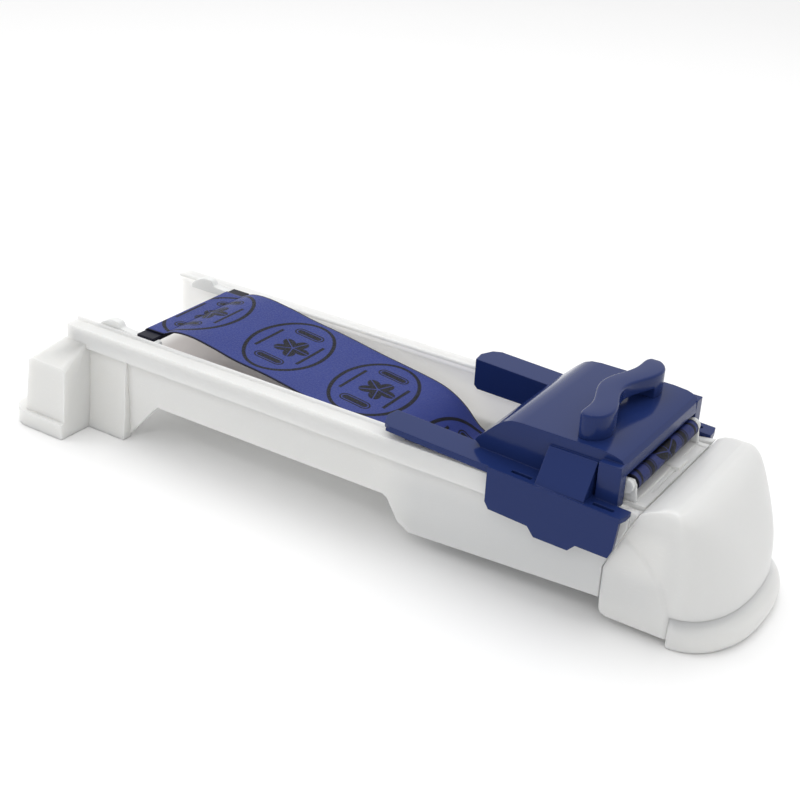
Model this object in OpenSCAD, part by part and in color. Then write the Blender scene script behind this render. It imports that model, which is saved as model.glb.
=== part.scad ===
// Vine-leaf rolling machine: a trough with a fabric belt, a sliding press
// carriage on two rails and a snap-on nose cover. Millimetres, +Z up.
// +X runs from the outlet end to the nose, the part is symmetric about Y = 0.

/* [Trough] */
// half width over the rail flanges
rail_half = 50; // [46:0.5:56]
// height of the rail top above the ground
rail_z = 57.5; // [50:0.5:66]
// depth of the outer flange skirt
flange_h = 10.8; // [8:0.2:14]
// half width between the inner rail lips
lip_half = 40.2; // [36:0.2:44]
// height of the bead on the inner lip
bead_h = 1.4; // [0.8:0.1:2.2]
// outer half width of the trough wall
wall_half = 45; // [42:0.5:48]
// wall thickness of the trough
wall_t = 3.2; // [2:0.1:4]
// thickness of the floor
floor_t = 2.6; // [1.8:0.1:4]
// underside of the shallow trough
beam_z = 23.7; // [18:0.5:30]
// length of the rails
rail_len = 322.5; // [300:0.5:350]

/* [Outlet feet] */
// outer half width of the outlet feet
foot_half = 71; // [60:1:76]
// how far the foot toe reaches past the rails
foot_toe = 26; // [16:1:32]
// thickness of the foot toe
foot_t = 9; // [6:0.5:12]

/* [Nose] */
// end of the nose bumper
nose_end = 380; // [365:1:395]
// wall thickness of the nose cover
nose_t = 2.3; // [1.6:0.1:3]
// radius of the two cover pins
pin_r = 2.6; // [2.2:0.1:3]

/* [Belt] */
// half width of the belt
belt_half = 33; // [28:0.5:35]
// thickness of the belt
belt_t = 0.6; // [0.4:0.1:1]
// radius of the front belt rod
rod_r = 1.6; // [1.2:0.1:2.2]
// height of the front belt rod
rod_z = 67; // [64:0.5:68]

/* [Carriage] */
// half width over the carriage skirts
car_half = 53.2; // [52.6:0.2:56]
// top of the carriage deck at the arm tips, it falls towards the nose
deck_z = 65.5; // [64:0.2:67]
// fall of the carriage deck, in millimetres over a hundred
deck_fall = 4.4; // [2:0.2:4.6]
// top of the carriage cover
cover_z = 82; // [78:0.5:86]
// wall thickness of the carriage
car_t = 2.4; // [1.8:0.1:3]
// front tips of the two arms
arm_x = 200; // [190:1:215]

/* [Handle] */
// half length of the grip
grip_half = 36.5; // [34:0.5:40]
// top of the grip
grip_z = 94; // [92:0.5:102]
// thickness of the grip
grip_t = 7; // [6:0.5:7]

/* [Press roller] */
// radius of the press roller
roller_r = 10; // [8:0.5:11]
// height of the roller axis
roller_z = 39; // [38:0.5:44]
// radius of the roller axle
axle_r = 2.5; // [2:0.1:3]

/* [Hidden] */
x_mid = (nose_end - foot_toe) / 2;
run = 0.05;
roller_x = 262;
rod_x = 319.4;
wrap_r = 4.2;
bar_x = 46;
bar_z = 58.5;
pin_x = 324;
pin_z = 54.6;
pin_end = 41.8;
post_y = 29;
grip_x = 295.5;
post_in = 20;
belt_w = 2 * belt_half;
white = [0.93, 0.93, 0.91, 0.9];
bright = [0.97, 0.97, 0.96];
blue = [0.09, 0.12, 0.40];
cloth = [0.18, 0.24, 0.58];
navy = [0.04, 0.05, 0.16];
steel = [0.62, 0.63, 0.65];
grey = [0.75, 0.76, 0.78];
belt_rear = [[52.6, 60.4], [60, 63.4], [71, 64], [85, 62.4], [100, 59.6], [119, 57.2],
             [145, 53.2], [170, 49.9], [184, 47], [193, 43], [200, 38], [205, 33.2],
             [210, 29.6], [218, 28.4], [roller_x, roller_z - roller_r - 0.45]];
belt_front = [[272.1, 36.3], [274.6, 43], [281, 49.6], [291, 55.2], [303, 60.4], [314.6, 64.6]];

$fn = 48;

module place() {
    translate([-x_mid, 0, 0]) children();
}

module pair() {
    children();
    mirror([0, 1, 0]) children();
}

// side profile drawn in X and Z, pulled from y0 to y1
module side(y0, y1) {
    translate([0, y1, 0]) rotate([90, 0, 0]) linear_extrude(y1 - y0) children();
}

// section drawn in Y and Z, pulled from x0 to x1
module section(x0, x1) {
    translate([x0, 0, 0]) rotate([90, 0, 90]) linear_extrude(x1 - x0) children();
}

// box between two corners
module span(a, b) {
    translate(a) cube(b - a);
}

// round bar along Y
module bar(x, z, r, y0, y1) {
    translate([x, y1, z]) rotate([90, 0, 0]) cylinder(r = r, h = y1 - y0);
}

// strip of constant thickness along an open line of points
module strip(p, t) {
    n = len(p) - 1;
    a = [for (i = [0:n]) let (d = p[min(i + 1, n)] - p[max(i - 1, 0)]) d / norm(d)];
    up = [for (i = [0:n]) p[i] + [-a[i][1], a[i][0]] * t / 2];
    dn = [for (i = [n:-1:0]) p[i] - [-a[i][1], a[i][0]] * t / 2];
    polygon(concat(up, dn));
}

module wall_plate() {
    side(wall_half - wall_t, wall_half)
        polygon([[0, rail_z - 1], [0, 4], [13, 4], [13, 0], [36, 0], [38, 2], [54.5, 20.6],
                 [57.8, beam_z], [200.5, beam_z], [203, 22.2], [209.4, 11.7], [216, 7.8],
                 [316.4, 12.9], [316.4, 29], [rail_len + 3, 51], [rail_len + 3, rail_z - 1]]);
}

module rail() {
    section(0, rail_len)
        polygon([[lip_half, rail_z - 2.6], [lip_half, rail_z + bead_h - 0.6],
                 [lip_half + 0.6, rail_z + bead_h], [lip_half + 1.6, rail_z + bead_h],
                 [lip_half + 2.2, rail_z], [rail_half, rail_z],
                 [rail_half, rail_z - flange_h], [rail_half - 1.8, rail_z - flange_h],
                 [rail_half - 1.8, rail_z - 2.6]]);
}

module outlet_foot() {
    linear_extrude(foot_t) {
        translate([-foot_toe + 12, 44.8]) square([26.6, foot_half - 44.8]);
        translate([-foot_toe, 50]) square([13, foot_half - 62]);
        translate([-foot_toe + 12, foot_half - 12]) circle(r = 12);
    }
    hull() {
        translate([0, 0, foot_t - 1]) linear_extrude(1)
            polygon([[-17, foot_half - 5], [-15, foot_half - 2.5], [12.6, foot_half - 2.5],
                     [12.6, 44.8], [-4, 44.8]]);
        bar(-11, 36.5, 3, 61, foot_half - 5);
        bar(9.6, 36.5, 3, 61, foot_half - 5);
        span([-2, 44.8, 46], [12.6, 50, 49]);
    }
    span([0, 44.8, 44], [3.4, rail_half, rail_z - 0.5]);
    section(12, 38)
        polygon([[44.6, 50], [46, 50], [47.4, 30], [48.8, 14], [50.6, 0], [44.6, 0]]);
}

module trough_floor() {
    side(-wall_half + 1, wall_half - 1)
        polygon([[4, beam_z], [200.5, beam_z], [203, 22.2], [209.4, 11.7], [216, 7.8], [316.4, 12.9],
                 [316.4, 12.9 + floor_t], [216.6, 7.8 + floor_t], [211.6, 13.2], [205, 24.4],
                 [202, beam_z + floor_t], [4, beam_z + floor_t]]);
}

module nose_seat() {
    span([316, -42, 12.9], [318.6, 42, 57.2]);
    pair() span([316, 39.6, 12.9], [344, 42, 50]);
    difference() {
        span([316, -36, 57], [328.9, 36, 59.4]);
        span([323.4, -33, 58.8], [328.2, 33, 60]);
        span([325.2, -21.6, 58], [326.2, 4, 60]);
    }
    span([319, 4.8, 58.4], [327, 15, 60.1]);
    pair() side(39.8, 43.3)
        polygon([[316, 48], [324.4, 48], [326.6, 53], [328, 57], [329.2, 59.4], [321.5, 58.4],
                 [316, 57.5]]);
}

module base_frame() {
    color(white) place() difference() {
        union() {
            pair() wall_plate();
            pair() rail();
            pair() outlet_foot();
            trough_floor();
            nose_seat();
        }
        pair() bar(pin_x, pin_z, pin_r + run, 36.5, pin_end + run);
    }
}

// plan of the nose at one height: straight sides and a rounded end of depth a, squarer as p grows
module nose_slice(z, x0, x1, h, a, p) {
    n = 20;
    end = [for (i = [0:n]) let (t = -90 + 180 * i / n, v = sin(t))
        [x1 - a + a * cos(t), h * sign(v) * pow(abs(v), 2 / p)]];
    translate([0, 0, z]) linear_extrude(0.2) polygon(concat(end, [[x0, h], [x0, -h]]));
}

module nose_hood() {
    hull() {
        nose_slice(4, 318, nose_end - 6, 43.9, 24, 2.4);
        nose_slice(12, 317, nose_end - 6, 44.2, 24, 2.4);
        nose_slice(29, 317, nose_end - 8, 44.6, 21, 2.6);
        nose_slice(45, 323.7, nose_end - 14, 44.6, 15.5, 3);
        nose_slice(57, 328.8, nose_end - 21.5, 44.4, 9, 4);
        nose_slice(60, 330.2, nose_end - 24.5, 44, 7, 5);
        nose_slice(62, 333.5, nose_end - 27, 43.2, 5, 6);
        nose_slice(64.4, 342, nose_end - 32, 41, 2.5, 8);
    }
}

module nose_hollow() {
    hull() {
        nose_slice(-1, 309, nose_end - 6 - nose_t, 44.4 - nose_t, 21.7, 2.4);
        nose_slice(29, 309, nose_end - 8 - nose_t, 44.6 - nose_t, 19, 2.6);
        nose_slice(45, 315.7, nose_end - 14 - nose_t, 44.6 - nose_t, 13.5, 3);
        nose_slice(55, 320.8, nose_end - 20.5 - nose_t, 44.4 - nose_t, 8, 4);
        nose_slice(64.4 - nose_t, 342, nose_end - 32 - nose_t, 41 - nose_t, 2, 8);
    }
}

// band round the foot of the nose, t in from its outside
module nose_bumper(t, x0) {
    hull() {
        nose_slice(t > 0 ? -1 : 0, x0, nose_end - 3.5 - t, 44.6 - t, 25, 2.4);
        nose_slice(3, x0, nose_end - 1 - t, 46 - t, 27, 2.4);
        nose_slice(6, x0, nose_end - t, 46.4 - t, 28, 2.4);
        nose_slice(10, x0, nose_end - 1.8 - t, 45.4 - t, 27, 2.4);
        nose_slice(13.3, x0, nose_end - 5.8 - t, 44.2 - t, 25, 2.4);
    }
}

module nose_cap() {
    color(white) place() {
        difference() {
            union() {
                nose_hood();
                nose_bumper(0, 350.5);
            }
            nose_hollow();
            nose_bumper(nose_t, 353);
        }
        pair() difference() {
            side(37.2, 39.5)
                polygon([[320.4, 51], [336, 51], [341, 62.6], [335, 61.8], [330.4, 59.4], [320.4, 58.6]]);
            bar(pin_x, pin_z, pin_r + run, 36, 40);
        }
    }
}

module nose_pins() {
    color(grey) place() pair() bar(pin_x, pin_z, pin_r, 37, pin_end);
}

module rod_yokes() {
    color(bright) place() pair() difference() {
        side(33.4, 34.9)
            polygon([[315.2, 59.4], [324, 59.4], [323, 67.4], [321.6, 69.8], [317.2, 69.8], [315.8, 67.4]]);
        bar(rod_x, rod_z, rod_r + run, 33, 36);
    }
}

module belt_rod() {
    color(steel) place() bar(rod_x, rod_z, rod_r, -36.4, 36.4);
}

module rod_caps() {
    color(bright) place() pair() difference() {
        bar(rod_x, rod_z, 3.4, 35.1, 37.1);
        bar(rod_x, rod_z, rod_r + run, 35, 36.45);
    }
}

module rear_belt_bar() {
    color(navy) place() span([bar_x - 5.5, -39.9, bar_z - 1.2], [bar_x + 5.5, 39.9, bar_z + 1.2]);
}

module rear_bar_clips() {
    color(bright) place() pair() difference() {
        side(35.6, 40.1)
            polygon([[13, 54.8], [54, 54.8], [54, 57.4], [53, 58.2], [34, 58.8], [29, 59.4], [28.2, 61.4],
                     [27, 62.4], [23.5, 62.6], [20, 61.8], [16, 59.8], [13, 57.2]]);
        span([bar_x - 5.6, 35, bar_z - 1.3], [bar_x + 5.6, 41, bar_z + 5]);
    }
}

module belt_rear_hem() {
    color(navy) place() difference() {
        span([bar_x - 6.4, -belt_half, bar_z - 2.1], [bar_x + 6.4, belt_half, bar_z + 2.1]);
        span([bar_x - 5.7, -40, bar_z - 1.4], [bar_x + 5.7, 40, bar_z + 1.4]);
    }
}

module belt_rear_span() {
    color(cloth) place() side(-belt_half, belt_half) strip(belt_rear, belt_t);
}

module belt_front_span() {
    color(cloth) place() side(-belt_half, belt_half) strip(belt_front, belt_t);
}

module belt_front_wrap() {
    color(cloth) place() difference() {
        bar(rod_x, rod_z, wrap_r, -belt_half, belt_half);
        bar(rod_x, rod_z, rod_r + run, -40, 40);
    }
}

// height of the sloping deck top at a distance along the machine
function deck(x) = deck_z - (x - arm_x) * deck_fall / 100;

module cover_outer() {
    polygon([[250, deck(250) - 2], [247.6, 64.4], [245.4, 66.2], [246.3, 67.8], [255, 76.6], [259, 79.9],
             [263, 81.5], [268, cover_z], [306, cover_z], [313, 81.4], [317.2, 80], [318.9, 77.8],
             [319.2, 73], [319.2, deck(319) - 2]]);
}

module cover_inner() {
    polygon([[240, 40], [240, 66.4], [247.8, 66.6], [256.6, 75], [260.2, 77.9], [263.8, 79.2],
             [268.2, cover_z - car_t], [305.8, cover_z - car_t], [311.8, 79], [315, 77.6],
             [316.2, 75.6], [316.6, 72.4], [330, 72.4], [330, 40]]);
}

// slice of the deck between two heights below its sloping top
module deck_band(top, bottom) {
    side(-60, 60)
        polygon([[arm_x - 5, deck(arm_x - 5) - top], [arm_x - 5, deck(arm_x - 5) - bottom],
                 [330, deck(330) - bottom], [330, deck(330) - top]]);
}

module deck_plate() {
    difference() {
        intersection() {
            translate([0, 0, 50]) linear_extrude(20)
                polygon([[arm_x + 1, 36.2], [arm_x, 43], [arm_x + 3, 50], [arm_x + 7, 52.4], [259.8, 52.4],
                         [259.8, car_half], [324.8, car_half], [326, 49], [326, 44], [319.2, 44],
                         [319.2, 37.6], [250, 37.6], [250, 36.2]]);
            deck_band(0, car_t);
        }
        span([280, 36, 50], [330, 43.4, rail_z + bead_h + run]);
    }
}

module side_deck() {
    deck_plate();
    side(36.2, 38.4)
        polygon([[arm_x + 1, 63.8], [arm_x + 1, 51], [arm_x + 3, 49], [298, 47], [302, 50], [302, 59.6]]);
    side(50.8, 52.4) polygon([[arm_x + 5, 63.8], [arm_x + 5, 62.4], [262, 59.2], [262, 61.6]]);
    side(50.8, car_half)
        polygon([[259.8, 62], [259.8, 45.2], [261.9, 41.8], [282, 40.5], [285.6, 36.1], [302.5, 35.8],
                 [306, 39.5], [321.5, 39.2], [323.3, 43.7], [324.8, 59]]);
    span([264, 47, 42.6], [320, 51, 45.9]);
    side(44, 46.4) polygon([[arm_x + 12, rail_z + run], [318, rail_z + run], [318, 59], [arm_x + 12, 64]]);
}

module side_trim() {
    section(283, 307) polygon([[38, 76.4], [41.4, 76.4], [52, 61.6], [52, 60.6], [43.4, 59], [38, 59]]);
    span([308.4, 38, 59], [319.2, 44, 78.4]);
}

module carriage_shell() {
    color(blue) place() difference() {
        union() {
            difference() {
                union() {
                    side(-40, 40) cover_outer();
                    pair() side_trim();
                }
                side(-37.6, 37.6) cover_inner();
            }
            pair() side_deck();
        }
        pair() {
            span([270, 47.8, deck(275) - 1.8], [280, 49.8, deck_z]);
            span([310, 47.8, deck(315) - 1.8], [320, 49.8, deck_z]);
            translate([grip_x + 2, post_y, 70]) cylinder(r = 1.7, h = 20);
        }
    }
}

// wavy grip outline in plan between two places across the machine
function mid(y) = grip_x - 3.3 * cos(180 * y / 26);
function wide(y) = (5.9 + 0.7 * pow(y / 30, 2)) * sqrt(max(0.004, 1 - pow(abs(y) / grip_half, 8)));
function grip(y0, y1) = let (n = 28, ys = [for (i = [0:n]) y0 + (y1 - y0) * i / n])
    concat([for (y = ys) [mid(y) + wide(y), y]], [for (i = [n:-1:0]) [mid(ys[i]) - wide(ys[i]), ys[i]]]);

module handle() {
    color(blue) place() difference() {
        union() {
            translate([0, 0, grip_z - grip_t]) linear_extrude(grip_t) polygon(grip(-grip_half, grip_half));
            pair() translate([0, 0, cover_z]) linear_extrude(grip_z - grip_t - cover_z + 1)
                polygon(grip(post_in, grip_half));
        }
        pair() translate([grip_x + 2, post_y, cover_z - 1]) cylinder(r = 1.3, h = 10);
    }
}

module handle_screws() {
    color(steel) place() pair() translate([grip_x + 2, post_y, cover_z - car_t - 2]) {
        cylinder(r = 3, h = 1.9);
        cylinder(r = 1.25, h = 12);
    }
}

module roller_cradle() {
    color(bright) place() {
        pair() difference() {
            side(33.4, 35.3)
                polygon([[256, 33.5], [268, 33.5], [270, 40], [270, 60], [280, 74], [280, 79.3],
                         [263, 78.8], [257.6, 75], [249.5, 66.4], [244.8, 65], [244.8, 62], [250, 61],
                         [254, 54], [254, 36]]);
            bar(roller_x, roller_z, axle_r + run, 33, 36);
        }
        difference() {
            span([266, -35.3, 77.3], [287, 35.3, 79.4]);
            translate([276, 0, 70]) cylinder(r = 4, h = 12);
        }
    }
}

module roller_axle() {
    color(steel) place() bar(roller_x, roller_z, axle_r, -36, 36);
}

module axle_clips() {
    color(steel) place() pair() difference() {
        bar(roller_x, roller_z, 4.4, 35.4, 35.95);
        bar(roller_x, roller_z, axle_r + 0.02, 35, 37);
    }
}

module belt_pocket_loop() {
    color(cloth) place() translate([roller_x, belt_half, roller_z]) rotate([90, 0, 0])
        rotate([0, 0, -90]) rotate_extrude(angle = 74)
            translate([roller_r + 0.15, 0]) square([belt_t, belt_w]);
}

module press_roller() {
    color(grey) place() difference() {
        bar(roller_x, roller_z, roller_r, -32.8, 32.8);
        bar(roller_x, roller_z, axle_r + run, -40, 40);
    }
}

base_frame();
nose_cap();
nose_pins();
rod_yokes();
belt_rod();
rod_caps();
rear_belt_bar();
rear_bar_clips();
belt_rear_hem();
belt_rear_span();
belt_front_span();
belt_front_wrap();
carriage_shell();
handle();
handle_screws();
roller_cradle();
roller_axle();
axle_clips();
belt_pocket_loop();
press_roller();
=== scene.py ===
"""Looks for the vine-leaf rolling machine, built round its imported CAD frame."""

import math

import bmesh
import bpy
from mathutils import Matrix, Vector, noise


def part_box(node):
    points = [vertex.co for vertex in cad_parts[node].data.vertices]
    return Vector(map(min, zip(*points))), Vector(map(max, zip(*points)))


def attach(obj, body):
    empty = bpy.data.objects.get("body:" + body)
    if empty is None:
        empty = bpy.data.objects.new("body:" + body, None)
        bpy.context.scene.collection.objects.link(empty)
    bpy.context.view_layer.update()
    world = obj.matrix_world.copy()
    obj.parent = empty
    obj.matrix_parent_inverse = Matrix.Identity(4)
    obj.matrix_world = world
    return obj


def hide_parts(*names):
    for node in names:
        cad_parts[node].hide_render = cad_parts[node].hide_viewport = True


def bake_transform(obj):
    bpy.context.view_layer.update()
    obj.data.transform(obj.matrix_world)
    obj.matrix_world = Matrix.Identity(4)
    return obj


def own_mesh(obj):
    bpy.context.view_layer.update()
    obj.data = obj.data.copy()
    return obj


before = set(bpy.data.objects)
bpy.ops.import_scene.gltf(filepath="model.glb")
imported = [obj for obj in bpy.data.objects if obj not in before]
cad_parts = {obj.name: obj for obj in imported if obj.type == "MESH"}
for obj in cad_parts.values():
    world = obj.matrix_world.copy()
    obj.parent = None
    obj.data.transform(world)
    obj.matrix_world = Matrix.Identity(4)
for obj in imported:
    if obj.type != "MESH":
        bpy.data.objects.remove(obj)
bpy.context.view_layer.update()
MM = 0.001
# how far the foot toe reaches past the open end of the rails, where the drawing's X starts
FOOT_TOE = 26
# drawing X of the row frame's origin
X_ORIGIN = -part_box("base_frame")[0].x / MM - FOOT_TOE


def at(x, y, z):
    """A point of the drawing, in millimetres, as a vector of the row frame."""
    return Vector(((x - X_ORIGIN) * MM, y * MM, z * MM))


# ---------------------------------------------------------------- materials


def rgb(*display):
    """8-bit display colour to the linear colour that shaders use."""
    linear = [c / 255 / 12.92 if c < 11 else ((c / 255 + 0.055) / 1.055) ** 2.4 for c in display]
    return (*linear, 1.0)


class Shader:
    """One material and its nodes."""

    def __init__(self, name):
        self.mat = bpy.data.materials.new(name)
        self.mat.use_nodes = True
        self.tree = self.mat.node_tree
        self.tree.nodes.clear()
        self.out = self.add("ShaderNodeOutputMaterial")
        self.bsdf = self.add("ShaderNodeBsdfPrincipled")
        self.link(self.bsdf.outputs[0], self.out.inputs[0])

    def add(self, kind, inputs=None, **props):
        node = self.tree.nodes.new(kind)
        for key, value in props.items():
            setattr(node, key, value)
        for key, value in (inputs or {}).items():
            self.put(node.inputs[key], value)
        return node

    def link(self, a, b):
        self.tree.links.new(a, b)

    def put(self, socket, value):
        if isinstance(value, bpy.types.NodeSocket):
            self.link(value, socket)
        else:
            socket.default_value = value

    def set(self, **inputs):
        names = {
            "color": "Base Color",
            "rough": "Roughness",
            "metal": "Metallic",
            "normal": "Normal",
            "sss": "Subsurface Weight",
            "sss_radius": "Subsurface Radius",
            "sss_scale": "Subsurface Scale",
            "ior": "IOR",
            "specular": "Specular IOR Level",
        }
        for key, value in inputs.items():
            self.put(self.bsdf.inputs[names[key]], value)

    def calc(self, op, a, b=0.0, c=0.0):
        node = self.add("ShaderNodeMath", operation=op)
        for socket, value in zip(node.inputs, (a, b, c)):
            self.put(socket, value)
        return node.outputs[0]

    def product(self, *factors):
        total = factors[0]
        for factor in factors[1:]:
            total = self.calc("MULTIPLY", total, factor)
        return total

    def ramp(self, value, lo, hi, out_lo=0.0, out_hi=1.0):
        node = self.add("ShaderNodeMapRange", interpolation_type="SMOOTHSTEP")
        keys = ("Value", "From Min", "From Max", "To Min", "To Max")
        for key, v in zip(keys, (value, lo, hi, out_lo, out_hi)):
            self.put(node.inputs[key], v)
        return node.outputs[0]

    def mix(self, factor, a, b):
        node = self.add("ShaderNodeMix", data_type="RGBA")
        self.put(node.inputs[0], factor)
        self.put(node.inputs[6], a)
        self.put(node.inputs[7], b)
        return node.outputs[2]

    def place(self, kind="Object"):
        return self.add("ShaderNodeTexCoord").outputs[kind]

    def noise(self, scale, detail, vector=None):
        inputs = {"Vector": vector or self.place(), "Scale": scale, "Detail": detail}
        return self.add("ShaderNodeTexNoise", inputs).outputs[0]

    def bump(self, height, depth, strength=1.0, normal=None):
        node = self.add("ShaderNodeBump")
        self.put(node.inputs["Strength"], strength)
        self.put(node.inputs["Distance"], depth)
        self.put(node.inputs["Height"], height)
        if normal:
            self.put(node.inputs["Normal"], normal)
        return node.outputs[0]


def moulded(name, colour, rough, variation, wear=0.1, sss=0.0, specular=0.5, extra=None):
    """Injection-moulded plastic: a faint ripple, slow tone changes and fine hairline scuffs."""
    s = Shader(name)
    slow = s.ramp(s.noise(9, 2), 0.3, 0.7, 0.0, variation)
    dark = tuple(c * 0.8 for c in colour[:3]) + (1.0,)
    stretched = s.add("ShaderNodeMapping", {"Vector": s.place(), "Scale": (1.0, 7.0, 3.0)})
    scuff = s.ramp(s.noise(420, 4, stretched.outputs[0]), 0.6, 0.72, 0.0, wear)
    light = tuple(min(1.0, c * 1.3 + 0.01) for c in colour[:3]) + (1.0,)
    s.set(color=s.mix(scuff, s.mix(slow, colour, dark), light))
    rough_map = s.ramp(s.noise(55, 4), 0.3, 0.75, rough * 0.85, rough * 1.2)
    s.set(rough=s.calc("ADD", rough_map, s.calc("MULTIPLY", scuff, 0.25)), specular=specular, ior=1.49)
    waves = s.calc("ADD", s.calc("MULTIPLY", s.noise(30, 1), 4.0), s.noise(1500, 2))
    soft_edges = s.add("ShaderNodeBevel", {"Radius": EDGE_SOFT}, samples=6)
    s.set(normal=s.bump(waves, RIPPLE, 0.5, soft_edges.outputs[0]))
    if sss:
        s.set(sss=sss, sss_radius=(1.0, 0.97, 0.93), sss_scale=SSS_SCALE)
    if extra:
        extra(s)
    return s.mat


# where the trough's painted glow and painted shade fade in or out, in metres of the row frame
WALL_FACE = (0.0421, 0.0424)
WALL_FOOT = (0.027, 0.032)
WALL_TOP = (0.0568, 0.0574)
FLOOR_TOP = (0.027, 0.03)
FLOOR_UNDER = (0.0245, 0.0255)
OUTLET = (-0.175, -0.160)
WELL_EDGE = (0.0, 0.02)
WELL_SLOPE = (0.02, 0.045)
WELL_TOP = (0.03, 0.05)


def paint_trough_light(s):
    """The trough's painted light and shade: a painted glow on its inner walls for daylight through them,
    painted shade on its floor under the belt and painted shade on the well under the carriage.
    """
    x, y, z = s.add("ShaderNodeSeparateXYZ", {0: s.place()}).outputs
    inner = s.ramp(s.calc("ABSOLUTE", y), *WALL_FACE, 1.0, 0.0)
    wall = s.product(inner, s.ramp(z, *WALL_FOOT), s.ramp(z, *WALL_TOP, 1.0, 0.0))
    # painted light: the inner wall faces glow, standing in for daylight through the thin walls
    s.put(s.bsdf.inputs["Emission Color"], (1.0, 0.99, 0.98, 1.0))
    s.put(s.bsdf.inputs["Emission Strength"], s.product(wall, PAINTED_WALL_GLOW))
    # painted shade: the floor under the belt is darkened to a warm grey, for the belt's shadow
    floor = s.product(inner, s.ramp(z, *FLOOR_TOP, 1.0, 0.0), s.ramp(z, *FLOOR_UNDER))
    shallow = s.product(s.ramp(x, *WELL_EDGE, 1.0, 0.0), s.ramp(x, *OUTLET))
    # painted shade: low surfaces under the carriage are greyed, for the dimmer light in the deep well
    well = s.product(s.ramp(x, *WELL_SLOPE), s.ramp(z, *WELL_TOP, 1.0, 0.0))
    plain = s.bsdf.inputs["Base Color"].links[0].from_socket
    floor_shaded = s.mix(s.product(floor, shallow), plain, rgb(172, 167, 165))
    s.set(color=s.mix(s.product(well, WELL_SHADE), floor_shaded, rgb(196, 198, 200)))


def metal(name, colour, rough):
    s = Shader(name)
    turned = s.add("ShaderNodeTexWave", wave_type="BANDS", bands_direction="Y")
    s.put(turned.inputs["Vector"], s.place())
    s.put(turned.inputs["Scale"], 900)
    s.put(turned.inputs["Distortion"], 1.5)
    s.set(color=s.mix(s.ramp(s.noise(60, 3), 0.35, 0.7, 0, 0.3), colour, rgb(120, 120, 124)), metal=1.0)
    s.set(rough=s.ramp(s.noise(220, 3), 0.3, 0.7, rough, rough + 0.14))
    s.set(normal=s.bump(turned.outputs[0], 0.000012, 0.4))
    return s.mat


# the print, in millimetres from the middle of its oval
RING_ACROSS = 29.0
RING_ALONG = 20.0
RING_LINE = 1.0
LEAF_SHIFT = 2.0
LEAF_NOTCH = 5.4
LEAF_LOBE = 4.6
ROLL_OFF = 17.5
ROLL_STRAIGHT = 5.5
ROLL_R = 3.3
ROLL_LINE_R = 2.2
BAR_OFF = 13.4
BAR_HALF = 12.0


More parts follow.
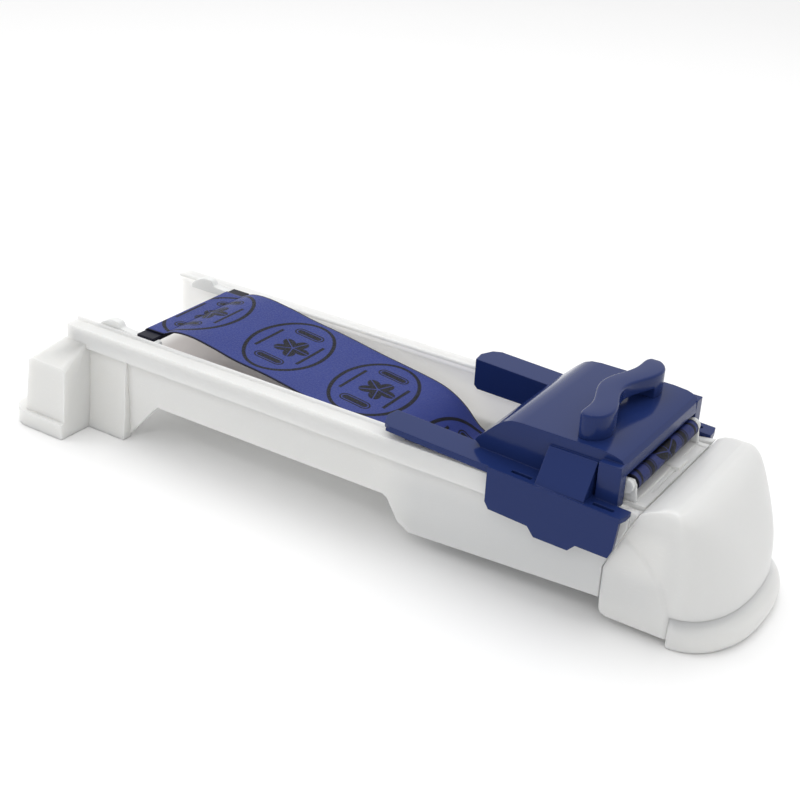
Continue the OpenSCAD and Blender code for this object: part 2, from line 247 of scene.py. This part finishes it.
def printed_cloth(name, first_ring, pitch, strip_half, dark=0.0):
    """Satin belt cloth with a dark printed oval, a generic leaf and bars in it, repeated along the belt.
    The cloth's own coordinates are in its UV map: across and along, in metres."""
    s = Shader(name)
    uv = s.add("ShaderNodeSeparateXYZ", {0: s.place("UV")})
    u = s.calc("MULTIPLY", uv.outputs[0], 1000.0)
    along = s.calc("MULTIPLY", uv.outputs[1], 1000.0)
    repeat = s.calc("FLOORED_MODULO", s.calc("ADD", along, pitch / 2 - first_ring), pitch)
    v = s.calc("SUBTRACT", repeat, pitch / 2)

    def squared(x):
        return s.product(x, x)

    def squares(x, y):
        return s.calc("ADD", squared(x), squared(y))

    # oval line
    inside = squares(s.calc("DIVIDE", u, RING_ACROSS), s.calc("DIVIDE", v, RING_ALONG))
    slope = s.calc("SQRT", squares(s.calc("DIVIDE", u, RING_ACROSS**2), s.calc("DIVIDE", v, RING_ALONG**2)))
    distance = s.calc("DIVIDE", s.calc("SUBTRACT", inside, 1.0), s.calc("MULTIPLY", slope, 2.0))
    ring = s.ramp(s.calc("ABSOLUTE", distance), RING_LINE - 0.15, RING_LINE + 0.15, 1.0, 0.0)

    # five-lobed leaf with light veins
    leaf_v = s.calc("ADD", v, -LEAF_SHIFT)
    radius = s.calc("SQRT", squares(u, leaf_v))
    turn = s.product(s.calc("ARCTAN2", u, leaf_v), 2.5)
    edge = s.calc("MULTIPLY_ADD", s.calc("ABSOLUTE", s.calc("COSINE", turn)), LEAF_LOBE, LEAF_NOTCH)
    vein = s.ramp(s.product(s.calc("ABSOLUTE", s.calc("SINE", turn)), radius, 0.4), 0.22, 0.34)
    leaf = s.product(s.ramp(s.calc("SUBTRACT", radius, edge), -0.12, 0.12, 1.0, 0.0), vein)

    # a rolled leaf on each side: a short round-ended bar with a light line round it
    ru = s.calc("SUBTRACT", s.calc("ABSOLUTE", u), ROLL_OFF)
    ends = s.calc("MAXIMUM", s.calc("SUBTRACT", s.calc("ABSOLUTE", v), ROLL_STRAIGHT), 0.0)
    rolled = s.calc("SQRT", squares(ru, ends))
    line = s.ramp(s.calc("ABSOLUTE", s.calc("SUBTRACT", rolled, ROLL_LINE_R)), 0.25, 0.4)
    roll = s.product(s.ramp(rolled, ROLL_R, ROLL_R + 0.25, 1.0, 0.0), line)

    # plain bars above and below
    off_bar = s.calc("ABSOLUTE", s.calc("SUBTRACT", s.calc("ABSOLUTE", v), BAR_OFF))
    bar_length = s.ramp(s.calc("ABSOLUTE", u), BAR_HALF, BAR_HALF + 0.3, 1.0, 0.0)
    bars = s.product(s.ramp(off_bar, 0.75, 0.95, 1.0, 0.0), bar_length)

    ink = s.calc("MAXIMUM", s.calc("MAXIMUM", ring, leaf), s.calc("MAXIMUM", roll, bars))
    ink = s.product(ink, s.ramp(s.noise(1500, 4, s.place("UV")), 0.34, 0.44, 0.55, 1.0))
    selvedge = s.ramp(s.calc("ABSOLUTE", u), strip_half - 1.1, strip_half - 0.5, 0.0, 1.0)

    # weave: fine threads both ways
    def threads(direction, count):
        wave = s.add("ShaderNodeTexWave", wave_type="BANDS", bands_direction=direction)
        s.put(wave.inputs["Vector"], s.place("UV"))
        s.put(wave.inputs["Scale"], count)
        s.put(wave.inputs["Distortion"], 0.6)
        s.put(wave.inputs["Detail"], 1.0)
        return wave.outputs[0]

    weave = s.product(threads("X", 520), threads("Y", 520))
    slub = s.noise(900, 3, s.place("UV"))
    tone = s.ramp(s.noise(30, 3, s.place("UV")), 0.3, 0.7, 0.0, 0.35)
    cloth = s.mix(tone, rgb(44, 59, 133), rgb(38, 51, 119))
    cloth = s.mix(s.product(weave, 0.35), cloth, rgb(26, 36, 90))
    cloth = s.mix(selvedge, cloth, rgb(16, 18, 38))
    # painted shade: dark darkens the whole cloth, for a shaded copy of the belt such as the roll
    cloth = s.mix(dark, cloth, rgb(14, 16, 34))
    s.set(color=s.mix(ink, cloth, rgb(14, 14, 18)))
    s.set(rough=s.ramp(slub, 0.3, 0.7, 0.3, 0.5), specular=s.calc("MULTIPLY_ADD", ink, -0.08, 0.22))
    height = s.calc("ADD", weave, s.calc("MULTIPLY", slub, 1.1))
    s.set(normal=s.bump(height, 0.00016, 0.6))
    return s.mat


SSS_SCALE = 0.007
EDGE_SOFT = 0.0006
RIPPLE = 0.00002
# strength of the painted glow on the trough's inner walls
PAINTED_WALL_GLOW = 0.24
# share of the painted shade on the trough's well
WELL_SHADE = 0.55
MILKY = rgb(225, 225, 223)
WHITE = moulded("milky_plastic", MILKY, 0.33, variation=0.05, sss=0.8)
# the trough's material also carries a painted glow and painted shade, from the function above
TROUGH = moulded("milky_trough", MILKY, 0.33, variation=0.05, sss=0.8, extra=paint_trough_light)
BLUE = moulded("blue_plastic", rgb(31, 47, 98), 0.15, variation=0.08, specular=0.2)
INSERT = moulded("white_insert", rgb(226, 227, 226), 0.4, variation=0.06, sss=0.3)
GREY = moulded("grey_plastic", rgb(205, 207, 208), 0.38, variation=0.1, wear=0.2, sss=0.15)
BAR = moulded("bar_plastic", rgb(10, 12, 32), 0.42, variation=0.15, specular=0.25)
STEEL = metal("steel", rgb(196, 198, 202), 0.22)


# ---------------------------------------------------------------- mesh helpers


def mesh_object(name, verts, faces, material):
    mesh = bpy.data.meshes.new(name)
    mesh.from_pydata([tuple(v) for v in verts], [], faces)
    mesh.update()
    obj = bpy.data.objects.new(name, mesh)
    bpy.context.scene.collection.objects.link(obj)
    mesh.materials.append(material)
    for p in mesh.polygons:
        p.use_smooth = True
    return obj


def loft_faces(rows, n):
    """Faces that join rows of n points into a closed tube with flat ends."""
    faces = []
    for i in range(rows - 1):
        for k in range(n):
            a, b = i * n + k, i * n + (k + 1) % n
            faces.append((a, b, b + n, a + n))
    last = (rows - 1) * n
    faces.append(tuple(range(n)))
    faces.append(tuple(last + k for k in reversed(range(n))))
    return faces


CREASE = 38


def finish_mesh(obj):
    """Consistent outward faces, and hard edges only where the surface turns by more than CREASE degrees."""
    bm = bmesh.new()
    bm.from_mesh(obj.data)
    bmesh.ops.recalc_face_normals(bm, faces=bm.faces)
    bm.to_mesh(obj.data)
    bm.free()
    obj.data.set_sharp_from_angle(angle=math.radians(CREASE))


def dress(node, material, width, clamp=False):
    """A CAD node's own mesh, welded, with its edges rounded by a modifier and the material put on.
    clamp makes the rounding smaller in narrow places, where it would tear the mesh."""
    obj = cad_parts[node]
    obj.data.materials.clear()
    obj.data.materials.append(material)
    for p in obj.data.polygons:
        p.use_smooth = True
    weld = obj.modifiers.new("weld", "WELD")
    weld.merge_threshold = 0.00001
    flat = obj.modifiers.new("planar", "DECIMATE")
    flat.decimate_type = "DISSOLVE"
    flat.angle_limit = math.radians(1.0)
    bevel = obj.modifiers.new("edges", "BEVEL")
    bevel.width = width
    bevel.segments = 3
    bevel.limit_method = "ANGLE"
    bevel.angle_limit = math.radians(30)
    bevel.use_clamp_overlap = clamp
    bevel.harden_normals = True
    bevel.miter_outer = "MITER_ARC"
    normals = obj.modifiers.new("normals", "WEIGHTED_NORMAL")
    normals.keep_sharp = False


def smooth_path(points, step):
    """Points (x, z) joined by a smooth curve and spaced evenly, in millimetres."""
    p = [Vector(q) for q in points]
    p = [p[0] * 2 - p[1], *p, p[-1] * 2 - p[-2]]
    fine = []
    parts = 24
    for i in range(1, len(p) - 2):
        for k in range(parts):
            t = k / parts
            a, b, c, d = p[i - 1], p[i], p[i + 1], p[i + 2]
            bend = 2 * b + (c - a) * t + (2 * a - 5 * b + 4 * c - d) * t * t
            fine.append(0.5 * (bend + (3 * b - a - 3 * c + d) * t**3))
    fine.append(p[-2])
    lengths = [0.0]
    for a, b in zip(fine, fine[1:]):
        lengths.append(lengths[-1] + (b - a).length)
    count = max(2, round(lengths[-1] / step))
    out, j = [], 0
    for k in range(count + 1):
        target = lengths[-1] * k / count
        while j < len(lengths) - 2 and lengths[j + 1] < target:
            j += 1
        span = lengths[j + 1] - lengths[j]
        t = 0 if span == 0 else (target - lengths[j]) / span
        out.append(fine[j].lerp(fine[j + 1], t))
    return out, lengths[-1]


def cloth_strip(name, points, half, start, material, lift=None, step=1.6, across=44, thick=0.55):
    """A belt sheet along a path of (x, z) points. start is how far along the whole belt it begins."""
    path, length = smooth_path(points, step)
    verts, faces, uvs = [], [], []
    n = len(path)
    for i, p in enumerate(path):
        d = (path[min(i + 1, n - 1)] - path[max(i - 1, 0)]).normalized()
        up = Vector((-d.y, d.x))
        s = length * i / (n - 1)
        for k in range(across + 1):
            y = half * (2 * k / across - 1)
            rise = lift(s, y, length) if lift else 0.0
            q = p + up * rise
            verts.append(at(q.x, y, q.y))
            uvs.append((y * MM, (start + s) * MM))
    row = across + 1
    for i in range(n - 1):
        for k in range(across):
            a = i * row + k
            faces.append((a, a + row, a + row + 1, a + 1))
    obj = mesh_object(name, verts, faces, material)
    layer = obj.data.uv_layers.new(name="cloth")
    for loop in obj.data.loops:
        layer.data[loop.index].uv = uvs[loop.vertex_index]
    solid = obj.modifiers.new("thickness", "SOLIDIFY")
    solid.thickness = thick * MM
    solid.offset = 0
    return obj, length


# ---------------------------------------------------------------- belt

BELT_HALF = 33.0
BELT_REAR = [
    (52.6, 60.4), (60, 63.4), (71, 64), (85, 62.4), (100, 59.6), (119, 57.2), (145, 53.2), (170, 49.9),
    (184, 47), (193, 43), (200, 38), (205, 33.2), (210, 29.6), (218, 28.4), (262, 28.55),
]
BELT_FRONT = [(272.1, 36.3), (274.6, 43), (281, 49.6), (291, 55.2), (303, 60.4), (314.6, 64.6)]
FIRST_RING = 4.0
PITCH = 54.5
belt_cloth = printed_cloth("belt_cloth", FIRST_RING, PITCH, BELT_HALF)
# the roll's cloth is the belt cloth with painted shade, darker for the tight, shaded roll
wound_cloth = printed_cloth("wound_cloth", FIRST_RING, PITCH, BELT_HALF, dark=0.45)


def belt_wave(s, y, length):
    """Slow hand-of-cloth waves that die out where the belt is held."""
    hold = min(1.0, s / 25, (length - s) / 30)
    return hold * 0.9 * noise.noise(Vector((s / 34, y / 40, 3.1)))


rear, rear_length = cloth_strip("belt_rear_cloth", BELT_REAR, BELT_HALF, 0.0, belt_cloth, belt_wave)
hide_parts("belt_rear_span")
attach(rear, "frame")
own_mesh(rear)

ROLLER = (262.0, 39.0)
LOOP_R = 10.45
loop_points = [
    (ROLLER[0] + LOOP_R * math.sin(math.radians(a)), ROLLER[1] - LOOP_R * math.cos(math.radians(a)))
    for a in range(0, 75, 5)
]
loop, loop_length = cloth_strip("belt_pocket_cloth", loop_points, BELT_HALF, rear_length, belt_cloth)
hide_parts("belt_pocket_loop")
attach(loop, "carriage")

so_far = rear_length + loop_length
front, front_length = cloth_strip("belt_front_cloth", BELT_FRONT, BELT_HALF, so_far, belt_cloth)
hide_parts("belt_front_span")
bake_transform(front)

# the front end is wound a few turns on the rod, one cloth thickness deeper each turn
ROD = (319.4, 67.0)
TURNS = 3.6
TURN_STEPS = 40
WOUND_R = 4.0
# how far back along the belt the roll's print starts, so that a leaf shows on its outside
PRINT_BACK = 17
wound = []
for k in range(int(TURNS * TURN_STEPS) + 1):
    turn = k / TURN_STEPS
    a = math.radians(215) + 2 * math.pi * turn
    r = WOUND_R - 0.62 * turn
    wound.append((ROD[0] + r * math.cos(a), ROD[1] + r * math.sin(a)))


def wound_folds(s, y, length):
    """Small pulls and ridges round the roll, deepest on the outer turn."""
    outer = max(0.0, 1 - s / 26)
    fine = noise.noise(Vector((y / 1.9, s / 14, 7.7)))
    broad = noise.noise(Vector((y / 4.5 + s / 9, s / 20, 2.3)))
    return -0.12 * outer * (1 + (fine + 0.6 * broad))


so_far += front_length - PRINT_BACK
fold_mesh = {"step": 0.6, "across": 110, "thick": 0.5}
wrap, wrap_length = cloth_strip(
    "belt_wound_cloth", wound, BELT_HALF - 0.1, so_far, wound_cloth, wound_folds, **fold_mesh
)
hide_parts("belt_front_wrap")
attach(wrap, "frame")

# sewn hem: the belt's rear end goes once round the flat bar
bar_lo, bar_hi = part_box("rear_belt_bar")
HEM_GAP = 0.55
hem_x0 = bar_lo.x / MM + X_ORIGIN - HEM_GAP
hem_x1 = bar_hi.x / MM + X_ORIGIN + HEM_GAP
hem_z0 = bar_lo.z / MM - HEM_GAP
hem_z1 = bar_hi.z / MM + HEM_GAP
hem_r = 1.6
hem_points = [(hem_x1 - 3.2, hem_z0)]
for cx, cz, a0 in ((hem_x0 + hem_r, hem_z0 + hem_r, -90), (hem_x0 + hem_r, hem_z1 - hem_r, -180)):
    for k in range(5):
        a = math.radians(a0 - k * 90 / 4)
        hem_points.append((cx + hem_r * math.cos(a), cz + hem_r * math.sin(a)))
hem_points += [(hem_x1 - 3, hem_z1), (hem_x1 + 0.3, hem_z1)]
HEM_STEP = 0.8
hem_length = smooth_path(hem_points, HEM_STEP)[1]
hem, _ = cloth_strip(
    "belt_hem_cloth", hem_points, BELT_HALF, -hem_length, belt_cloth, step=HEM_STEP, across=30
)
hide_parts("belt_rear_hem")
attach(hem, "frame")


# ---------------------------------------------------------------- nose cover

NOSE_END = 380.0
NOSE_WALL = 2.3
FOOT_Z = 4.0
LIP_Z = 60.0
# rounding of the lower back corners
CORNER_R = 3.6
ARCH_RISE = 0.75
NOSE_SLICES = [
    # z, back x, how far the end stands behind the bumper, half width, depth and squareness of the round end
    (FOOT_Z, 317.6, 6.0, 43.9, 24.0, 2.4),
    (12.0, 317.0, 6.0, 44.2, 24.0, 2.4),
    (20.0, 317.0, 6.7, 44.3, 23.0, 2.45),
    (29.0, 317.0, 8.0, 44.3, 21.0, 2.6),
    (37.0, 320.3, 10.6, 44.2, 18.5, 2.8),
    (45.0, 323.7, 14.2, 44.1, 15.5, 3.1),
    (51.0, 326.2, 17.6, 44.0, 12.5, 3.5),
    (57.0, 328.8, 21.8, 43.9, 9.0, 4.2),
    (LIP_Z, 330.2, 24.6, 43.6, 7.0, 5.0),
    (62.0, 333.5, 27.3, 42.9, 5.2, 6.0),
    (63.4, 337.5, 29.8, 41.8, 3.8, 7.0),
    (64.2, 341.0, 31.8, 40.4, 3.0, 8.0),
    (64.5, 343.5, 33.6, 39.0, 2.6, 8.0),
]
SIDE_STEPS = 30
END_STEPS = 88
ACROSS = 30


def nose_at(z):
    """The slice values at a height, by smooth interpolation."""
    rows = NOSE_SLICES
    last = len(rows) - 2
    i = max(j for j in range(last + 1) if rows[j][0] <= z + 1e-6)
    step = rows[i + 1][0] - rows[i][0]
    t = (z - rows[i][0]) / step

    def slope(j, column):
        return (rows[j + 1][column] - rows[j][column]) / (rows[j + 1][0] - rows[j][0])

    out = []
    for c in range(1, 6):
        middle = slope(i, c)
        m0 = m1 = middle
        if c > 1:
            m0 = (slope(max(i - 1, 0), c) + middle) / 2
            m1 = (slope(min(i + 1, last), c) + middle) / 2
        here = (2 * t**3 - 3 * t * t + 1) * rows[i][c] + (t**3 - 2 * t * t + t) * step * m0
        there = (3 * t * t - 2 * t**3) * rows[i + 1][c] + (t**3 - t * t) * step * m1
        out.append(here + there)
    return out


def end_curve(front, half, depth, square, t):
    """Rounded end in plan at angle t, from -90 to 90 degrees."""
    side = math.copysign(abs(math.sin(t)) ** (2 / square), math.sin(t))
    return Vector((front - depth + depth * math.cos(t), half * side))


def arch(x, z):
    """How far the arch on each side panel is raised there."""
    inside = 1 - math.hypot((x - 315) / 34.5, (z - 5) / 42)
    t = min(1.0, max(0.0, (inside + 0.012) / 0.028))
    return ARCH_RISE * t * t * (3 - 2 * t)


def nose_ring(z):
    """Outline at one height from the near back corner round the end to the far one, then back across."""
    x0, drop, half, depth, square = nose_at(z)
    low = max(0.0, (FOOT_Z + CORNER_R - z) / CORNER_R)
    x0 += CORNER_R * (1 - math.sqrt(max(0.0, 1 - low**2)))
    start = end_curve(NOSE_END - drop, half, depth, square, -math.pi / 2).x
    pts = []
    for i in range(SIDE_STEPS):
        x = x0 + (start - x0) * i / SIDE_STEPS
        pts.append(Vector((x, -half - arch(x, z))))
    for i in range(END_STEPS + 1):
        t = -math.pi / 2 + math.pi * i / END_STEPS
        pts.append(end_curve(NOSE_END - drop, half, depth, square, t))
    pts += [Vector((p.x, -p.y)) for p in reversed(pts[:SIDE_STEPS])]
    if z >= LIP_Z - 1e-6:
        pts += [Vector((x0, half * (1 - 2 * i / ACROSS))) for i in range(1, ACROSS)]
    return [at(p.x, p.y, z) for p in pts]


def nose_cover():
    """The cover as a shell, open below and behind its lip."""
    heights = [FOOT_Z + i for i in range(57)]
    heights += [60.5, 61, 61.5, 62, 62.4, 62.8, 63.1, 63.4, 63.65, 63.85, 64.05, 64.2, 64.35, 64.5]
    rings, verts, starts = [], [], []
    for z in heights:
        ring = nose_ring(z)
        starts.append(len(verts))
        verts += ring
        rings.append(len(ring))
    side = 2 * SIDE_STEPS + END_STEPS + 1
    faces = []
    for i in range(len(rings) - 1):
        a0, b0 = starts[i], starts[i + 1]
        closed = rings[i] > side and rings[i + 1] > side
        count = rings[i] if closed else side - 1
        for k in range(count):
            n = (k + 1) % rings[i] if closed else k + 1
            faces.append((a0 + k, a0 + n, b0 + n, b0 + k))
    # the flat top: rows across, from the back edge to the front
    top = starts[-1]
    for k in range(side // 2):
        a, b = top + k, top + side - 1 - k
        if b - a > 2:
            faces.append((a, a + 1, b - 1, b))
        elif b - a == 2:
            faces.append((a, a + 1, b))
    back = [top] + [top + side + i for i in range(ACROSS - 1)][::-1] + [top + side - 1]
    faces.append(tuple(back))
    obj = mesh_object("nose_cover", verts, faces, WHITE)
    finish_mesh(obj)
    solid = obj.modifiers.new("wall", "SOLIDIFY")
    solid.thickness = NOSE_WALL * MM
    solid.offset = -1
    bevel = obj.modifiers.new("rim", "BEVEL")
    bevel.width = 0.0004
    bevel.segments = 2
    bevel.limit_method = "ANGLE"
    bevel.angle_limit = math.radians(55)
    return obj


# how far the bumper stands out at the sides, and how much more at the end
SIDE_REACH = 1.9
MORE_REACH = 3.9


def nose_bumper():
    """Rounded band that stands out round the foot of the end only."""
    # height, and how far out as a share of the band's reach
    profile = [
        (0.0, 0.42), (0.4, 0.6), (1.0, 0.72), (1.9, 0.84), (3.4, 0.95), (5.2, 1.0), (6.8, 0.985),
        (8.2, 0.93), (9.4, 0.84), (10.4, 0.72), (11.2, 0.58), (11.9, 0.43), (12.6, 0.29), (13.4, 0.17),
        (14.4, 0.08), (15.6, 0.02),
    ]
    verts = []
    steps = 132
    for i in range(steps + 1):
        turn = 90 - 90 * math.cos(math.pi * i / steps)
        t = math.radians(turn - 90)
        edge = min(turn, 180 - turn)
        grow = min(1.0, edge / 5.0)
        rise = math.sqrt(max(0.0, 1 - (1 - grow) ** 2))
        reach = (SIDE_REACH + MORE_REACH * math.sin(math.radians(min(90.0, edge * 1.2))) ** 1.4) * rise
        column = []
        for z, out in [(15.8, -0.5), *reversed(profile), (0.0, -0.5)]:
            _, drop, *plan = nose_at(max(FOOT_Z, z))
            here = end_curve(NOSE_END - drop, *plan, t)
            ahead = end_curve(NOSE_END - drop, *plan, min(t + 0.01, math.pi / 2))
            behind = end_curve(NOSE_END - drop, *plan, max(t - 0.01, -math.pi / 2))
            along = (ahead - behind).normalized()
            outward = Vector((along.y, -along.x))
            distance = out * reach if out > 0 else out
            spot = here + outward * distance
            column.append(at(min(spot.x, NOSE_END - 0.02), spot.y, z))
        verts += column
    obj = mesh_object("nose_bumper", verts, loft_faces(steps + 1, len(profile) + 2), WHITE)
    finish_mesh(obj)
    return obj


nose = nose_cover()
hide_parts("nose_cap")
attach(nose, "frame")
bumper = nose_bumper()
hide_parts("nose_cap")
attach(bumper, "frame")


# ---------------------------------------------------------------- handle

GRIP_X = 295.5
GRIP_HALF = 36.5
GRIP_TOP = 94.0
GRIP_UNDER = 87.0
POST_IN = 20.0
DECK_TOP = 82.0
GRIP_EDGE = 1.3
FOOT_FILLET = 0.9


def grip_mid(y):
    return GRIP_X - 3.3 * math.cos(math.pi * y / 26)


def grip_wide(y):
    return (5.9 + 0.7 * (y / 30) ** 2) * math.sqrt(max(0.0, 1 - (abs(y) / GRIP_HALF) ** 8))


def handle():
    """Flat-topped wavy bar on two full-width feet, all edges rounded."""
    rows = [GRIP_HALF * math.sin(math.pi / 2 * i / 50) for i in range(51)]
    rows = [y for y in rows if abs(y - POST_IN) > 1.0]
    rows += [POST_IN + d for d in (-0.9, -0.5, -0.25, -0.1, 0.0, 0.02, 0.6, 1.0)]
    rows = sorted(set([-y for y in rows] + rows))
    verts = []
    for y in rows:
        edge = max(0.0, 1 - (GRIP_HALF - abs(y)) / GRIP_EDGE)
        top = GRIP_TOP - GRIP_EDGE * (1 - math.sqrt(max(0.0, 1 - edge * edge)))
        w = max(grip_wide(y), 0.02)
        r = min(GRIP_EDGE, w * 0.95)
        if abs(y) <= POST_IN:
            gap = max(0.0, 1 - (POST_IN - abs(y)) / FOOT_FILLET)
            under = GRIP_UNDER - FOOT_FILLET * (1 - math.sqrt(max(0.0, 1 - gap * gap)))
            q = min(0.7, w * 0.9)
        else:
            under = DECK_TOP
            q = 0.01
        corners = (
            (w - r, top - r, r, 0),
            (-w + r, top - r, r, 90),
            (-w + q, under + q, q, 180),
            (w - q, under + q, q, 270),
        )
        section = []
        for cx, cz, radius, a0 in corners:
            for k in range(6):
                a = math.radians(a0 + 18 * k)
                section.append((cx + radius * math.cos(a), cz + radius * math.sin(a)))
        verts += [at(grip_mid(y) + x, y, z) for x, z in section]
    obj = mesh_object("handle_grip", verts, loft_faces(len(rows), len(section)), BLUE)
    finish_mesh(obj)
    return obj


grip = handle()
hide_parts("handle")
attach(grip, "carriage")


# ---------------------------------------------------------------- CAD nodes that stay

dress("base_frame", TROUGH, 0.0004, clamp=True)
dress("carriage_shell", BLUE, 0.0004, clamp=True)
dress("roller_cradle", INSERT, 0.0003)
dress("rod_yokes", INSERT, 0.0002)
dress("rod_caps", INSERT, 0.0002)
dress("rear_bar_clips", INSERT, 0.0004)
dress("nose_pins", GREY, 0.0004)
dress("rear_belt_bar", BAR, 0.0003)
dress("press_roller", GREY, 0.0004)
dress("belt_rod", STEEL, 0.0002)
dress("roller_axle", STEEL, 0.0002)
dress("handle_screws", STEEL, 0.0002)
dress("axle_clips", STEEL, 0.0001)


# ---------------------------------------------------------------- stage

CAMERA_PLACE = (0.34384, -0.5502, 0.37548)
# azimuth, elevation and roll
CAMERA_ANGLES = (31.8195, 26.7293, 3.2345)
SKY_LOW, SKY_HIGH = 0.62, 0.9


def make_camera():
    azimuth, elevation, roll = (math.radians(a) for a in CAMERA_ANGLES)
    level = math.cos(elevation)
    back = Vector((math.sin(azimuth) * level, -math.cos(azimuth) * level, math.sin(elevation)))
    right = (-back).cross(Vector((0, 0, 1))).normalized()
    up = right.cross(-back)
    turned = right * math.cos(roll) + up * math.sin(roll)
    upright = up * math.cos(roll) - right * math.sin(roll)
    data = bpy.data.cameras.new("camera")
    data.lens = 65.08
    data.sensor_width = 36
    data.clip_start = 0.01
    camera = bpy.data.objects.new("camera", data)
    bpy.context.scene.collection.objects.link(camera)
    aim = Matrix((turned, upright, back)).transposed().to_4x4()
    camera.matrix_world = Matrix.Translation(CAMERA_PLACE) @ aim
    bpy.context.scene.camera = camera


def area_light(name, place, target, size, watts):
    data = bpy.data.lights.new(name, "AREA")
    data.shape = "RECTANGLE"
    data.size, data.size_y = size
    data.energy = watts
    lamp = bpy.data.objects.new(name, data)
    bpy.context.scene.collection.objects.link(lamp)
    lamp.location = place
    lamp.rotation_mode = "QUATERNION"
    lamp.rotation_quaternion = (Vector(target) - Vector(place)).to_track_quat("-Z", "Y")


def sky(world):
    """Soft room light: brighter overhead and behind the machine than on the near side."""
    world.use_nodes = True
    tree = world.node_tree
    background = tree.nodes["Background"]
    direction = tree.nodes.new("ShaderNodeTexCoord").outputs["Generated"]
    tilt = tree.nodes.new("ShaderNodeVectorMath")
    tilt.operation = "DOT_PRODUCT"
    tree.links.new(direction, tilt.inputs[0])
    tilt.inputs[1].default_value = Vector((-0.30, 0.62, 0.72)).normalized()
    shade = tree.nodes.new("ShaderNodeMapRange")
    shade.interpolation_type = "SMOOTHSTEP"
    for key, value in zip(("From Min", "From Max", "To Min", "To Max"), (-0.75, 0.9, SKY_LOW, SKY_HIGH)):
        shade.inputs[key].default_value = value
    tree.links.new(tilt.outputs["Value"], shade.inputs["Value"])
    tree.links.new(shade.outputs[0], background.inputs[1])
    background.inputs[0].default_value = (1.0, 1.0, 1.0, 1.0)


def studio():
    world = bpy.data.worlds.new("studio")
    bpy.context.scene.world = world
    sky(world)
    area_light("overhead", (-0.15, 0.3, 1.2), (0, 0, 0), (1.4, 1.0), 5.6)
    area_light("left_fill", (-0.95, -0.4, 0.45), (-0.12, 0, 0.03), (0.5, 0.5), 1.3)
    area_light("window", (0.25, -0.75, 0.95), (0.1, 0, 0.05), (0.12, 0.12), 0.8)
    s = Shader("floor")
    s.set(color=s.mix(s.noise(3, 2), rgb(254, 254, 254), rgb(251, 251, 251)), rough=0.6)
    side = 5.0
    corners = [(-side, -side, 0), (side, -side, 0), (side, side, 0), (-side, side, 0)]
    floor = mesh_object("floor", corners, [(0, 1, 2, 3)], s.mat)
    floor.location.z = -0.0002
    bpy.context.scene.view_settings.view_transform = "Standard"


make_camera()
studio()
